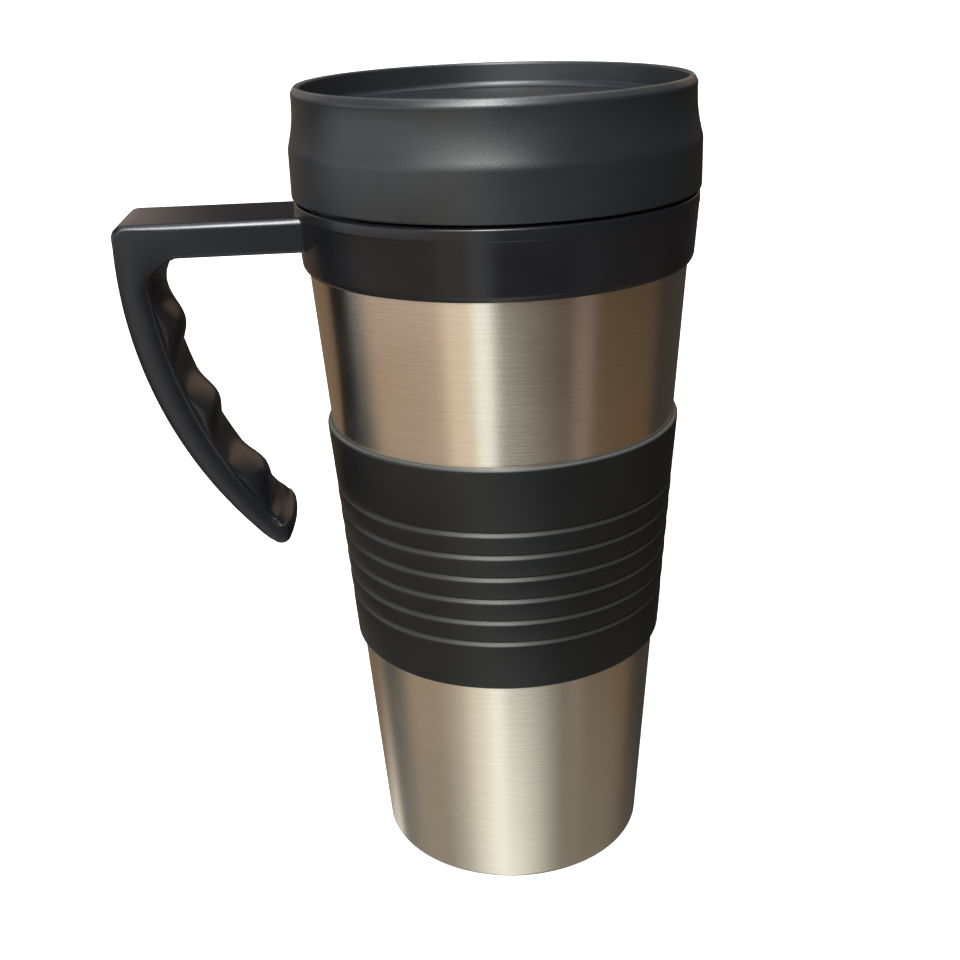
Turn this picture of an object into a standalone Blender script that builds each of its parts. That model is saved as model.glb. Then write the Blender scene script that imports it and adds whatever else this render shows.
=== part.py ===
"""Insulated travel mug, modelled as the pieces it comes apart into.

A steel shell surrounds a plastic liner. A collar moulded with its handle holds the two together, a
rubber band gives grip, and a plug closes the base. The lid is a rim, a deck and a threaded plug
welded together. It screws into the liner's neck on a three-start thread, seals on a ring, and
carries a sliding shutter over the drinking slot.

Every size is in millimetres until a mesh is made, which is in metres. The mug stands on z = 0 with
its axis on Z. The handle points along -X, and the drinking slot is on the -Y side.
"""

import math

import bmesh
import bpy
from mathutils import Vector

MM = 0.001
SEGMENTS = 48  # sides of every turned piece
FIT = 0.3  # gap left between two pieces that touch

# Driving dimensions
MUG_HEIGHT = 190.0
SHELL_FOOT_RADIUS = 32.88
SHELL_SLOPE = 0.071  # growth of the shell's radius for each millimetre of height
SHELL_TOP = 154.5
SHELL_WALL = 0.5
COLLAR_BOTTOM = 150.1
COLLAR_TOP = 165.4
COLLAR_RADIUS = 45.9
SKIRT_BOTTOM = 166.1
SKIRT_RADIUS = 46.25
RIM_RADIUS = 44.9
BAND_BOTTOM = 57.3
BAND_TOP = 113.2
BAND_THICKNESS = 1.2

# Base plug
PLUG_HEIGHT = 8.0
PLUG_FLOOR = 2.4
PLUG_WALL = 2.0
ROLLED_EDGE_RADIUS = 31.6  # where the shell's foot is rolled under the plug
ROLLED_EDGE_HEIGHT = 1.0
PLUG_GROOVE = (22.0, 24.0, 0.6)  # inner radius, outer radius and depth of the ring groove below

# Liner
LINER_FLOOR = 6.0
LINER_WALL = 1.6
LINER_FOOT_RADIUS = 29.6
LINER_CORNER = 5.0
LINER_SHOULDER = (146.0, 39.4)  # height and outer radius where the wall turns out to the neck
NECK_BOTTOM = 149.8
NECK_RADIUS = 42.5
NECK_BORE = 41.0
FLANGE_RADIUS = 44.3
FLANGE_BOTTOM = 163.2
FLANGE_TOP = 165.0

# Grip band
GROOVE_COUNT = 6
GROOVE_FIRST = 69.6
GROOVE_PITCH = 5.6
GROOVE_HALF_WIDTH = 0.6
GROOVE_DEPTH = 0.5

# Lid
DECK_TOP = 184.0
DECK_THICKNESS = 2.2
DECK_RADIUS = 43.0
RECESS_RADIUS = 42.3
WAIST_HEIGHT = 185.6
SKIRT_CREASE = 177.4
FLARE_POWER = 1.8  # 1 makes the rim's outside straight from the waist to the crease
RIM_CREASE = 188.1
SKIRT_BORE = 44.5
LID_PLUG_RADIUS = 39.3
LID_PLUG_WALL = 1.6
LID_PLUG_BOTTOM = 152.0
SEAL_FLANGE = (167.3, 168.9, 42.5)  # underside, top and radius of the flange above the seal ring

# Screw thread between the lid and the liner's neck
THREAD_STARTS = 3
THREAD_LEAD = 12.0
THREAD_STEP = 7.5  # degrees
THREAD_STAGGER = 3.0  # degrees, so that a ridge's sections fall between the corners of its wall
THREAD_BURY = 0.5  # how far a ridge's root runs into its wall
FEMALE_CREST = 39.9
FEMALE_FOOT = 155.2
FEMALE_SPAN = 127.5
MALE_CREST = 40.6
MALE_FOOT = FEMALE_FOOT - THREAD_LEAD / THREAD_STARTS / 2
MALE_SPAN = 150.0

# Shutter over the drinking slot
SIP_SLOT = (5.5, -36.6, -31.4)  # half width, then the two ends along Y
STEM_SLOT = (2.3, -24.1, -8.9)
VENT_PLACE = (0.0, 4.0)
VENT_RADIUS = 1.2
SHUTTER = (9.0, -39.2, -16.0)
SHUTTER_BOTTOM = DECK_TOP + 0.6
SHUTTER_TOP = DECK_TOP + 2.1
POCKET_DEPTH = 0.8
PAD = (7.0, -37.8, -30.2)
THUMB_GRIP = (6.5, -27.0, -19.8)
THUMB_RIB_COUNT = 3
THUMB_TOP = 187.4
STEM = (2.0, -23.5, -19.5)
STEM_HEAD_OVERHANG = 0.9
CLIP = (5.5, -26.0, -17.0)
CLIP_THICKNESS = 2.0
RAIL_GAP = 0.5
RAIL_WIDTH = 1.2
RAIL_HEIGHT = 1.4

# Handle, as distances from the mug's axis and heights
HANDLE_WIDTH = 24.6
ARM_TOP = 163.1
ARM_THICKNESS = 7.7
ARM_ROUND = 0.9  # rounding of the arm's lower edges
ARM_START = 43.0
CORNER_START = 71.8  # where the arm's underside starts to bend down
CORNER_FLATNESS = 1.3  # 1 is an arc and 2 is a chamfer
HANDLE_REACH = 85.35
BACK_RADIUS = 96.5  # radius of the handle's long outer curve
BACK_CENTRE_HEIGHT = 155.0
OUTER_CORNER = 2.8
GRIP_START_ANGLE = 4.2  # degrees round the outer curve
GRIP_END_ANGLE = 42.0
GRIP_ROUND = 1.9  # rounding of the grip's inner edges
SIDE_DEPTH = 4.9  # how deep the grip's flat sides are, where they are deepest
SIDE_TAPER = 0.0018
SIDE_MIDDLE_ANGLE = 12.0
FINGER_PITCH = 13.3  # degrees from one finger ridge to the next
FIRST_RIDGE = 10.7
FINGER_RIDGE = 5.8  # how far the inner face rises above the flat sides
FINGER_VALLEY = 2.0
CORNER_WEB = 1.8  # more rise where the arm meets the grip
RIDGE_POWER = 1.2  # above 1 it narrows the ridges and widens the hollows for the fingers
CROWN_POWER = 0.8  # roundness of the inner face across the handle
TIP_CENTRE = (54.2, 88.5)
TIP_ROUND = 2.8
TIP_SIDE = (52.6, 90.5)
TIP_TOP = (52.8, 90.8)
TIP_DOME = 1.3  # how far the tip's middle stands in front of its two sides
EDGE_FILLET = 1.5

BLACK_PLASTIC = ((0.030, 0.030, 0.033), 0.42, 0.0)
INNER_PLASTIC = ((0.045, 0.045, 0.048), 0.35, 0.0)
BRUSHED_STEEL = ((0.60, 0.55, 0.47), 0.28, 1.0)
GRIP_RUBBER = ((0.018, 0.020, 0.022), 0.75, 0.0)
SEAL_SILICONE = ((0.55, 0.55, 0.53), 0.55, 0.0)


def clear_scene():
    for obj in list(bpy.data.objects):
        bpy.data.objects.remove(obj, do_unlink=True)


def material(name, look):
    colour, roughness, metallic = look
    made = bpy.data.materials.new(name)
    made.use_nodes = True
    shader = made.node_tree.nodes["Principled BSDF"]
    shader.inputs["Base Color"].default_value = (*colour, 1.0)
    shader.inputs["Roughness"].default_value = roughness
    shader.inputs["Metallic"].default_value = metallic
    made.diffuse_color = (*colour, 1.0)
    return made


def finish_object(name, mesh_builder, look):
    """Turns a bmesh into a smooth-shaded object whose faces point outwards."""
    bmesh.ops.recalc_face_normals(mesh_builder, faces=mesh_builder.faces)
    mesh = bpy.data.meshes.new(name)
    mesh_builder.to_mesh(mesh)
    mesh_builder.free()
    mesh.shade_smooth()
    mesh.set_sharp_from_angle(angle=math.radians(30))
    obj = bpy.data.objects.new(name, mesh)
    obj.data.materials.append(material(name, look))
    bpy.context.scene.collection.objects.link(obj)
    return obj


def hide_tool(obj):
    obj.hide_render = True
    obj.display_type = "WIRE"
    return obj


def boolean(obj, tool, operation):
    """Joins or cuts obj with a tool that stays out of the model."""
    hide_tool(tool)
    modifier = obj.modifiers.new(f"{operation.lower()}_{tool.name}", "BOOLEAN")
    modifier.operation = operation
    modifier.object = tool
    modifier.solver = "EXACT"


def arc(centre, radius, start, end, steps):
    """Points of an arc in the (distance, height) plane, with angles in degrees from +distance."""
    points = []
    for step in range(steps + 1):
        angle = math.radians(start + (end - start) * step / steps)
        points.append((centre[0] + radius * math.cos(angle), centre[1] + radius * math.sin(angle)))
    return points


def revolve(name, outline, look):
    """Spins an outline of (radius, height) points round Z.

    An outline that starts and ends on the axis stays open there; any other is closed on itself.
    """
    builder = bmesh.new()
    verts = [builder.verts.new((radius * MM, 0.0, height * MM)) for radius, height in outline]
    edges = [builder.edges.new(pair) for pair in zip(verts, verts[1:])]
    if outline[0][0] > 0.0:
        edges.append(builder.edges.new((verts[-1], verts[0])))
    bmesh.ops.spin(
        builder,
        geom=verts + edges,
        axis=(0.0, 0.0, 1.0),
        cent=(0.0, 0.0, 0.0),
        angle=math.tau,
        steps=SEGMENTS,
        use_merge=True,
    )
    bmesh.ops.remove_doubles(builder, verts=builder.verts, dist=0.001 * MM)
    return finish_object(name, builder, look)


def skin_rings(builder, rings):
    """Skins equal rings of points one after another and closes both ends."""
    loops = [[builder.verts.new([value * MM for value in point]) for point in ring] for ring in rings]
    count = len(loops[0])
    for lower, upper in zip(loops, loops[1:]):
        for index in range(count):
            after = (index + 1) % count
            builder.faces.new((lower[index], lower[after], upper[after], upper[index]))
    builder.faces.new(loops[0])
    builder.faces.new(list(reversed(loops[-1])))


def slab_rings(half_width, ends, low, high, corner):
    """Two rings of a plate with rounded corners: half_width along X, and ends along Y."""
    ring = []
    for start, x_side, y_end in ((0, 1, ends[1]), (90, -1, ends[1]), (180, -1, ends[0]), (270, 1, ends[0])):
        y_side = 1 if y_end == ends[1] else -1
        centre = (x_side * (half_width - corner), y_end - y_side * corner)
        ring += arc(centre, corner, start, start + 90, 3)
    return [[(x, y, height) for x, y in ring] for height in (low, high)]


def slab(name, place, low, high, corner, look=BLACK_PLASTIC):
    builder = bmesh.new()
    skin_rings(builder, slab_rings(place[0], place[1:], low, high, corner))
    return finish_object(name, builder, look)


def shell_radius(height):
    return SHELL_FOOT_RADIUS + SHELL_SLOPE * height


# The body of the mug


def make_outer_shell():
    """A thin steel sleeve, open at the top and rolled under at the foot."""
    fillet = 1.6
    foot = (shell_radius(fillet) - fillet, fillet)
    outline = [(ROLLED_EDGE_RADIUS, 0.0)]
    outline += arc(foot, fillet, -90, 0, 4)
    outline += [(shell_radius(SHELL_TOP), SHELL_TOP)]
    outline += [(shell_radius(SHELL_TOP) - SHELL_WALL, SHELL_TOP)]
    outline += arc(foot, fillet - SHELL_WALL, 0, -90, 3)
    outline += [(ROLLED_EDGE_RADIUS, SHELL_WALL)]
    return revolve("outer_shell", outline, BRUSHED_STEEL)


def make_base_plug():
    """A moulded plug that the shell's rolled foot holds in."""
    low = ROLLED_EDGE_RADIUS - FIT
    wide = shell_radius(ROLLED_EDGE_HEIGHT) - SHELL_WALL - 2 * FIT
    step = ROLLED_EDGE_HEIGHT + FIT
    groove_in, groove_out, groove_depth = PLUG_GROOVE
    outline = [
        (0.0, 0.0),
        (groove_in, 0.0),
        (groove_in + groove_depth, groove_depth),
        (groove_out - groove_depth, groove_depth),
        (groove_out, 0.0),
        (low, 0.0),
        (low, step),
        (wide, step + 0.5),
        (wide, PLUG_HEIGHT),
        (wide - PLUG_WALL, PLUG_HEIGHT),
        (wide - PLUG_WALL, PLUG_FLOOR),
        (0.0, PLUG_FLOOR),
    ]
    return revolve("base_plug", outline, BLACK_PLASTIC)


def make_inner_liner():
    """The cup that holds the drink, with a threaded neck and a flange that hangs on the collar."""
    shoulder_height, shoulder_radius = LINER_SHOULDER
    inner_floor = LINER_FLOOR + LINER_WALL
    corner = (LINER_FOOT_RADIUS - LINER_CORNER, LINER_FLOOR + LINER_CORNER)
    outline = [(0.0, LINER_FLOOR)]
    outline += arc(corner, LINER_CORNER, -90, 0, 4)
    outline += [
        (shoulder_radius, shoulder_height),
        (NECK_RADIUS, NECK_BOTTOM),
        (NECK_RADIUS, FLANGE_BOTTOM),
        (FLANGE_RADIUS, FLANGE_BOTTOM),
        (FLANGE_RADIUS, FLANGE_TOP),
        (NECK_BORE + 0.4, FLANGE_TOP),
        (NECK_BORE, FLANGE_TOP - 0.6),
        (NECK_BORE, NECK_BOTTOM + LINER_WALL),
        (shoulder_radius - LINER_WALL, shoulder_height + LINER_WALL),
    ]
    outline += arc(corner, LINER_CORNER - LINER_WALL, 0, -90, 4)
    outline += [(0.0, inner_floor)]
    liner = revolve("inner_liner", outline, INNER_PLASTIC)
    ridges = make_thread("neck_thread", NECK_BORE, FEMALE_CREST, (1.8, 1.0), FEMALE_FOOT, FEMALE_SPAN)
    boolean(liner, ridges, "UNION")
    return liner


def make_grip_band():
    """A rubber sleeve with turned grooves and a raised lip at its top."""

    def outer(height):
        return shell_radius(height) + BAND_THICKNESS

    outline = [
        (shell_radius(BAND_BOTTOM) + FIT, BAND_BOTTOM),
        (outer(BAND_BOTTOM) - 0.4, BAND_BOTTOM),
        (outer(BAND_BOTTOM), BAND_BOTTOM + 0.7),
    ]
    for groove in range(GROOVE_COUNT):
        middle = GROOVE_FIRST + groove * GROOVE_PITCH
        outline += [
            (outer(middle - GROOVE_HALF_WIDTH), middle - GROOVE_HALF_WIDTH),
            (outer(middle) - GROOVE_DEPTH, middle),
            (outer(middle + GROOVE_HALF_WIDTH), middle + GROOVE_HALF_WIDTH),
        ]
    outline += [
        (outer(BAND_TOP - 0.8), BAND_TOP - 0.8),
        (outer(BAND_TOP) - 0.4, BAND_TOP),
        (shell_radius(BAND_TOP) + FIT, BAND_TOP),
    ]
    return revolve("grip_band", outline, GRIP_RUBBER)


def make_collar_ring():
    """The collar's turned part: a lip over the shell's top edge and a rebate for the liner."""
    lip_round = 4.0
    tip_radius = shell_radius(COLLAR_BOTTOM) + 0.7
    side_radius = COLLAR_RADIUS - 0.75
    rebate_bottom = FLANGE_BOTTOM - FIT
    groove_top = SHELL_TOP + FIT
    outline = [
        (shell_radius(COLLAR_BOTTOM) + FIT, COLLAR_BOTTOM),
        (tip_radius, COLLAR_BOTTOM),
        (tip_radius + 0.65, COLLAR_BOTTOM + 0.25 * lip_round),
        (side_radius, COLLAR_BOTTOM + lip_round),
        (COLLAR_RADIUS, COLLAR_TOP - 0.5),
        (COLLAR_RADIUS - 0.5, COLLAR_TOP),
        (FLANGE_RADIUS + FIT, COLLAR_TOP),
        (FLANGE_RADIUS + FIT, rebate_bottom),
        (NECK_RADIUS + FIT, rebate_bottom),
        (NECK_RADIUS + FIT, groove_top),
        (shell_radius(SHELL_TOP) + FIT, groove_top),
    ]
    return revolve("collar_handle", outline, BLACK_PLASTIC)


# The handle is skinned through stations along it, each a section with three points in the plane
# y = 0: one on its outer edge, one where its flat side ends, and one on its inner edge


def handle_stations():
    """(outer, side and inner point, how far the station is into the grip, doming) of each section."""
    arm_foot = ARM_TOP - ARM_THICKNESS
    side_foot = arm_foot + ARM_ROUND
    stations = []
    for distance in (ARM_START, 58.0):
        stations.append(((distance, ARM_TOP), (distance, side_foot), (distance, arm_foot), 0.0, 0.0))
    outer_centre = (HANDLE_REACH - OUTER_CORNER, ARM_TOP - OUTER_CORNER)
    run = outer_centre[0] - CORNER_START
    outers = [(CORNER_START + run * step / 3, ARM_TOP) for step in range(3)]
    outers += arc(outer_centre, OUTER_CORNER, 90, 0, 5)
    outers += [back_point(angle, 0.0) for angle in (-1.4, 0.8, 3.0)]
    _, side_end, inner_end = grip_points(GRIP_START_ANGLE)
    sides = flattened_corner((CORNER_START, side_foot), side_end, len(outers))
    inners = flattened_corner((CORNER_START, arm_foot), inner_end, len(outers))
    for step, (outer, side, inner) in enumerate(zip(outers, sides, inners)):
        stations.append((outer, side, inner, step / len(outers), 0.0))
    grip_steps = 30
    for step in range(grip_steps + 1):
        angle = GRIP_START_ANGLE + (GRIP_END_ANGLE - GRIP_START_ANGLE) * step / grip_steps
        stations.append((*grip_points(angle), 1.0, 0.0))
    return stations + tip_stations()


def flattened_corner(start, end, steps):
    """Points of the corner from the arm's underside down to the grip, between an arc and a chamfer."""
    points = []
    for step in range(steps):
        turn = 0.5 * math.pi * step / steps
        across = math.sin(turn) ** CORNER_FLATNESS
        down = 1 - math.cos(turn) ** CORNER_FLATNESS
        points.append((start[0] + (end[0] - start[0]) * across, start[1] + (end[1] - start[1]) * down))
    return points


def tip_stations():
    """The rounded tip, whose sections swing round until they close on its upper corner."""
    _, side, inner = grip_points(GRIP_END_ANGLE)
    outers = [back_point(43.4, 0.0), back_point(44.8, 0.15)]
    outers += arc(TIP_CENTRE, TIP_ROUND, -50, -225, 8)
    stations = []
    for step, outer in enumerate(outers, 1):
        part = step / len(outers)
        side_point = bend(side, back_point(44.0, SIDE_DEPTH - 1.4), TIP_SIDE, part)
        inner_point = bend(inner, back_point(44.0, SIDE_DEPTH + 0.7), TIP_TOP, part)
        stations.append((outer, side_point, inner_point, 1.0, part))
    return stations


def bend(start, corner, end, part):
    """A point of the smooth curve that leaves start towards a corner and arrives at end from it."""
    start, corner, end = Vector(start), Vector(corner), Vector(end)
    return tuple(start.lerp(corner, part).lerp(corner.lerp(end, part), part))


def back_point(angle, depth):
    """A point that lies depth inside the handle's long outer curve."""
    radius = BACK_RADIUS - depth
    turn = math.radians(angle)
    return (
        HANDLE_REACH - BACK_RADIUS + radius * math.cos(turn),
        BACK_CENTRE_HEIGHT - radius * math.sin(turn),
    )


def grip_points(angle):
    """The outer, side and inner point of the grip at an angle, with a ridge between two fingers."""
    side = SIDE_DEPTH - SIDE_TAPER * (angle - SIDE_MIDDLE_ANGLE) ** 2
    wave = 0.5 + 0.5 * math.cos(math.tau * (angle - FIRST_RIDGE) / FINGER_PITCH)
    web = CORNER_WEB * max(0.0, (FIRST_RIDGE - angle) / (FIRST_RIDGE - GRIP_START_ANGLE)) ** 2
    inner = side + FINGER_VALLEY + web + (FINGER_RIDGE - FINGER_VALLEY) * wave**RIDGE_POWER
    return back_point(angle, 0.0), back_point(angle, side), back_point(angle, inner)


def handle_section(outer, side, inner, grip, doming):
    """A ring across the handle: flat back and sides, and an inner face that is crowned on the grip."""
    outer = Vector(outer)
    side = Vector(side)
    rise = Vector(inner) - side
    half = HANDLE_WIDTH / 2
    across = [(outer, 0.0), (outer, half * 0.5)]
    fillet = min(EDGE_FILLET, 0.6 * (side - outer).length)
    inward = (side - outer).normalized()
    for width, depth in arc((0, 0), fillet, 90, 0, 2):
        across.append((outer + inward * (fillet - depth), half - fillet + width))
    edge = min(ARM_ROUND + (GRIP_ROUND - ARM_ROUND) * grip, rise.length)
    for width, depth in arc((0, 0), edge, 0, 90, 2):
        across.append((side + rise.normalized() * depth, half - edge + width))
    face_steps = 5
    for step in range(1, face_steps + 1):
        share = math.cos(0.5 * math.pi * step / face_steps)
        height = edge + (rise.length - edge) * (1 - share * share) ** CROWN_POWER
        across.append((side + rise.normalized() * height, (half - edge) * share))
    mirrored = [(point, -offset) for point, offset in reversed(across[1:-1])]
    ring = []
    for point, offset in across + mirrored:
        pulled = doming * TIP_DOME * (offset / half) ** 2
        ring.append((-(point.x + pulled), offset, point.y))
    return ring


def make_collar_handle():
    """The collar and the handle, which are one moulding."""
    builder = bmesh.new()
    skin_rings(builder, [handle_section(*station) for station in handle_stations()])
    handle = finish_object("handle_arm", builder, BLACK_PLASTIC)
    collar = make_collar_ring()
    boolean(collar, handle, "UNION")
    return collar


# The screw thread


def make_thread(name, wall, crest, widths, foot, span):
    """Ridges of a right-hand multi-start thread, from inside their wall to their crest."""
    base_width, crest_width = widths
    outward = 1.0 if crest > wall else -1.0
    root = wall - outward * THREAD_BURY
    steps = round(span / THREAD_STEP)
    builder = bmesh.new()
    for start in range(THREAD_STARTS):
        rings = []
        for step in range(steps + 1):
            taper = min(1.0, 0.3 + 0.35 * min(step, steps - step))
            tip = wall + (crest - wall) * taper
            height = foot + THREAD_LEAD * step * THREAD_STEP / 360
            angle = math.radians(THREAD_STAGGER + start * 360 / THREAD_STARTS + step * THREAD_STEP)
            section = (
                (root, height - base_width / 2),
                (tip, height - crest_width / 2),
                (tip, height + crest_width / 2),
                (root, height + base_width / 2),
            )
            rings.append([(r * math.cos(angle), r * math.sin(angle), z) for r, z in section])
        skin_rings(builder, rings)
    return finish_object(name, builder, INNER_PLASTIC)


# The lid


def flare_radius(height):
    """The rim's outer radius between waist and crease, which curves outwards on its way down."""
    waist = RIM_RADIUS - 0.1
    part = (WAIST_HEIGHT - height) / (WAIST_HEIGHT - SKIRT_CREASE)
    return waist + (SKIRT_RADIUS - 0.15 - waist) * part**FLARE_POWER


def make_lid_rim():
    """The ring round the lid: a rim to drink from, and a skirt that meets the collar."""
    rim_round = 1.05
    rim = (RIM_RADIUS - rim_round, MUG_HEIGHT - rim_round)
    ledge = DECK_TOP + FIT
    deck_bottom = DECK_TOP - DECK_THICKNESS
    outline = [(RECESS_RADIUS, ledge)]
    outline += arc(rim, rim_round, 180, 0, 6)
    outline.append((RIM_RADIUS - 0.15, RIM_CREASE))
    flare_steps = 4
    for step in range(flare_steps + 1):
        height = WAIST_HEIGHT + (SKIRT_CREASE - WAIST_HEIGHT) * step / flare_steps
        outline.append((flare_radius(height), height))
    outline += [
        (SKIRT_RADIUS, SKIRT_CREASE - 1.0),
        (SKIRT_RADIUS, SKIRT_BOTTOM + 0.7),
        (SKIRT_RADIUS - 0.4, SKIRT_BOTTOM),
        (SKIRT_BORE, SKIRT_BOTTOM),
        (SKIRT_BORE, deck_bottom - 3.8),
        (DECK_RADIUS + FIT, deck_bottom),
        (DECK_RADIUS + FIT, ledge),
    ]
    return revolve("lid_rim", outline, BLACK_PLASTIC)


def make_vent_cutter():
    builder = bmesh.new()
    rings = []
    for height in (DECK_TOP - DECK_THICKNESS - 1.0, DECK_TOP + 1.0):
        rings.append([(x, y, height) for x, y in arc(VENT_PLACE, VENT_RADIUS, 0, 345, 23)])
    skin_rings(builder, rings)
    return finish_object("vent_cutter", builder, BLACK_PLASTIC)


def make_rails():
    """Two low rails on the deck that keep the shutter straight."""
    builder = bmesh.new()
    inner = SHUTTER[0] + RAIL_GAP
    for side in (-1, 1):
        middle = side * (inner + RAIL_WIDTH / 2)
        rings = []
        for height in (DECK_TOP - 0.5, DECK_TOP + RAIL_HEIGHT):
            ring = []
            for x_side, y in ((-1, -36.0), (1, -36.0), (1, -7.0), (-1, -7.0)):
                ring.append((middle + x_side * RAIL_WIDTH / 2, y, height))
            rings.append(ring)
        skin_rings(builder, rings)
    return finish_object("deck_rails", builder, BLACK_PLASTIC)


def make_lid_deck():
    """The plate inside the rim, with its three holes and the shutter's rails."""
    low = DECK_TOP - DECK_THICKNESS
    outline = [(0.0, low), (DECK_RADIUS, low), (DECK_RADIUS, DECK_TOP), (0.0, DECK_TOP)]
    deck = revolve("lid_deck", outline, BLACK_PLASTIC)
    below = low - 1.0
    above = DECK_TOP + 1.0
    boolean(deck, make_rails(), "UNION")
    boolean(deck, slab("sip_cutter", SIP_SLOT, below, above, 2.5), "DIFFERENCE")
    boolean(deck, slab("stem_cutter", STEM_SLOT, below, above, 0.8), "DIFFERENCE")
    boolean(deck, make_vent_cutter(), "DIFFERENCE")
    return deck


def make_lid_plug():
    """The threaded tube below the deck, with the flange that presses on the seal."""
    bore = LID_PLUG_RADIUS - LID_PLUG_WALL
    top = DECK_TOP - DECK_THICKNESS - FIT
    flange_bottom, flange_top, flange_radius = SEAL_FLANGE
    outline = [
        (bore, top),
        (LID_PLUG_RADIUS, top),
        (LID_PLUG_RADIUS, flange_top),
        (flange_radius, flange_top),
        (flange_radius, flange_bottom),
        (LID_PLUG_RADIUS, flange_bottom),
        (LID_PLUG_RADIUS, LID_PLUG_BOTTOM + 0.6),
        (LID_PLUG_RADIUS - 0.5, LID_PLUG_BOTTOM),
        (bore, LID_PLUG_BOTTOM),
    ]
    plug = revolve("lid_plug", outline, BLACK_PLASTIC)
    ridges = make_thread("plug_thread", LID_PLUG_RADIUS, MALE_CREST, (2.0, 1.2), MALE_FOOT, MALE_SPAN)
    boolean(plug, ridges, "UNION")
    return plug


def make_seal_ring():
    """A silicone ring between the lid's flange and the top of the liner."""
    flange_bottom, _, flange_radius = SEAL_FLANGE
    low = FLANGE_TOP + FIT
    high = flange_bottom - FIT
    inner = LID_PLUG_RADIUS + FIT
    outer = flange_radius
    middle = (low + high) / 2
    outline = [
        (inner, low + 0.3),
        (inner + 0.3, low),
        (outer - 0.4, low),
        (outer, middle),
        (outer - 0.4, high),
        (inner, high),
    ]
    return revolve("seal_ring", outline, SEAL_SILICONE)


# The shutter: a thumb piece above the deck, its pad, and a clip that holds it from below


def make_thumb_shutter():
    shutter = slab("thumb_shutter", SHUTTER, SHUTTER_BOTTOM, SHUTTER_TOP, 2.5)
    pocket = (PAD[0] + FIT, PAD[1] - FIT, PAD[2] + FIT)
    cutter = slab("pocket_cutter", pocket, SHUTTER_BOTTOM - 1.0, SHUTTER_BOTTOM + POCKET_DEPTH, 1.5)
    boolean(shutter, cutter, "DIFFERENCE")
    width, start, end = THUMB_GRIP
    pitch = (end - start) / THUMB_RIB_COUNT
    for rib in range(THUMB_RIB_COUNT):
        place = (width, start + rib * pitch, start + rib * pitch + 0.6 * pitch)
        boolean(shutter, slab(f"thumb_rib_{rib}", place, SHUTTER_TOP - 0.4, THUMB_TOP, 0.6), "UNION")
    clip_bottom = DECK_TOP - DECK_THICKNESS - FIT - CLIP_THICKNESS
    boolean(shutter, slab("stem", STEM, clip_bottom - 1.2, SHUTTER_BOTTOM + 0.5, 0.5), "UNION")
    head = (STEM[0] + STEM_HEAD_OVERHANG, STEM[1], STEM[2])
    boolean(shutter, slab("stem_head", head, clip_bottom - 1.4, clip_bottom - FIT, 0.4), "UNION")
    return shutter


def make_shutter_pad():
    low = DECK_TOP + FIT
    return slab("shutter_pad", PAD, low, SHUTTER_BOTTOM + POCKET_DEPTH - FIT, 1.2, SEAL_SILICONE)


def make_shutter_clip():
    """A plate under the deck, with a window that the stem's head snaps through."""
    top = DECK_TOP - DECK_THICKNESS - FIT
    bottom = top - CLIP_THICKNESS
    clip = slab("shutter_clip", CLIP, bottom, top, 1.5)
    window = (STEM[0] + FIT, STEM[1] - FIT, STEM[2] + FIT)
    boolean(clip, slab("clip_cutter", window, bottom - 1.0, top + 1.0, 0.5), "DIFFERENCE")
    return clip


def main():
    clear_scene()
    make_outer_shell()
    make_base_plug()
    make_inner_liner()
    make_grip_band()
    make_collar_handle()
    make_lid_rim()
    make_lid_deck()
    make_lid_plug()
    make_seal_ring()
    make_thumb_shutter()
    make_shutter_pad()
    make_shutter_clip()


main()
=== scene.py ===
"""Looks of the insulated travel mug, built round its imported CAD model.

Every piece but the shutter's pad and clip is made again at the CAD's sizes, with fine rings and
rounded edges. Each piece takes a node-based material and rides on its CAD body, so it moves with
the joints.

Sizes are in millimetres until a mesh is made, which is in metres. The mug stands on z = 0 with its
axis on Z, the handle points along -X, and the camera stands on the -Y side.
"""

import math

import bmesh
import bpy
from mathutils import Matrix, Vector

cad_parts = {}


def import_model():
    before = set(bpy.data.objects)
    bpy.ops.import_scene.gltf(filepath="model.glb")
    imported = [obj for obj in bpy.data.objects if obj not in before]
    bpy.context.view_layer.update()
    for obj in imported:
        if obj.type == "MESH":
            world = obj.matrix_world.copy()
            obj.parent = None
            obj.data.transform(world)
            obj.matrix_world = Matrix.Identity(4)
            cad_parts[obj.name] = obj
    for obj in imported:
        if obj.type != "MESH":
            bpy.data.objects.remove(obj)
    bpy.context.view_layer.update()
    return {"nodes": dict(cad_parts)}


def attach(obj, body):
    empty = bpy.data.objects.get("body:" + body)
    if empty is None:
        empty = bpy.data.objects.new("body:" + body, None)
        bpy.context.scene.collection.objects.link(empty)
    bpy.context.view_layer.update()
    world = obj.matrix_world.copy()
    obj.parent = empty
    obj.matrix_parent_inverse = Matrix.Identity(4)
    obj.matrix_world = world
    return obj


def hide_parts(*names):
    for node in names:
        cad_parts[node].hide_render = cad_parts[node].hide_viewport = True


MM = 0.001
SIDES = 192  # of every turned piece
ROUND_STEPS = 5  # points of each rounded corner
TOUCH = 0.05  # gap drawn between two pieces that touch
FIT = 0.3  # gap that the CAD keeps between them

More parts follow.
